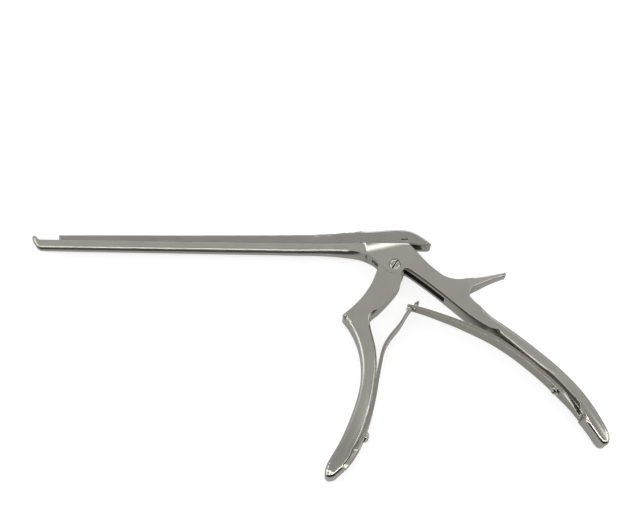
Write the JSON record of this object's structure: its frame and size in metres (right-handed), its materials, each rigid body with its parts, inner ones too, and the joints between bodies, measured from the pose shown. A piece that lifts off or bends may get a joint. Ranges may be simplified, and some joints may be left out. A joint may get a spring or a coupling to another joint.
{
  "type": "bone_rongeur",
  "caption": "Laminectomy-type bone rongeur: a long sliding jaw over an upturned foot, pistol-grip handles, a finger spur and interlocking leaf return springs.",
  "frame": {"origin": "the main pivot's axis, on the flat side that the instrument rests on", "axes": "-X towards the biting end, +X towards the rear handle, +Y towards the sliding jaw, +Z through the thickness towards the screw heads"},
  "size_m": [0.2907, 0.1294, 0.0108],
  "materials": {
    "satin_steel": "fine satin-ground stainless steel",
    "spring_steel": "satin spring steel, bright edges",
    "screw_steel": "turned steel, slotted heads"
  },
  "bodies": {
    "frame": {"base_frame": "satin_steel", "pivot_screw": "screw_steel", "rear_spring_screw": "screw_steel"},
    "front_handle": {"front_handle": "satin_steel", "front_spring_screw": "screw_steel"},
    "slide": {"slide": "satin_steel", "drive_screw": "screw_steel"},
    "front_spring": {"front_leaf_spring": "spring_steel"},
    "rear_spring": {"rear_leaf_spring": "spring_steel"}
  },
  "joints": [
    {"name": "handle_hinge", "type": "hinge", "parent": "frame", "child": "front_handle", "pos_m": [0, 0, 0.0054], "axis": [0, 0, 1], "range_deg": [0, 38], "stiffness_Nm_per_rad": 1.5, "springref_deg": -11.46},
    {"name": "slide_run", "type": "slide", "parent": "frame", "child": "slide", "axis": [-1, 0, 0], "range_m": [0, 0.01]},
    {"name": "front_leaf_flex", "type": "hinge", "parent": "front_handle", "child": "front_spring", "pos_m": [-0.009, -0.057, 0.0054], "axis": [0, 0, 1], "range_deg": [0, 12], "deforming": ["front_leaf_spring"]},
    {"name": "rear_leaf_flex", "type": "hinge", "parent": "frame", "child": "rear_spring", "pos_m": [0.0425, -0.0345, 0.0054], "axis": [0, 0, 1], "range_deg": [-13.5, 0], "deforming": ["rear_leaf_spring"]}
  ],
  "couplings": [
    {"joint": "slide_run", "follows": "handle_hinge", "m_per_rad": 0.01506},
    {"joint": "front_leaf_flex", "follows": "handle_hinge", "ratio": 0.315},
    {"joint": "rear_leaf_flex", "follows": "handle_hinge", "ratio": -0.355}
  ]
}
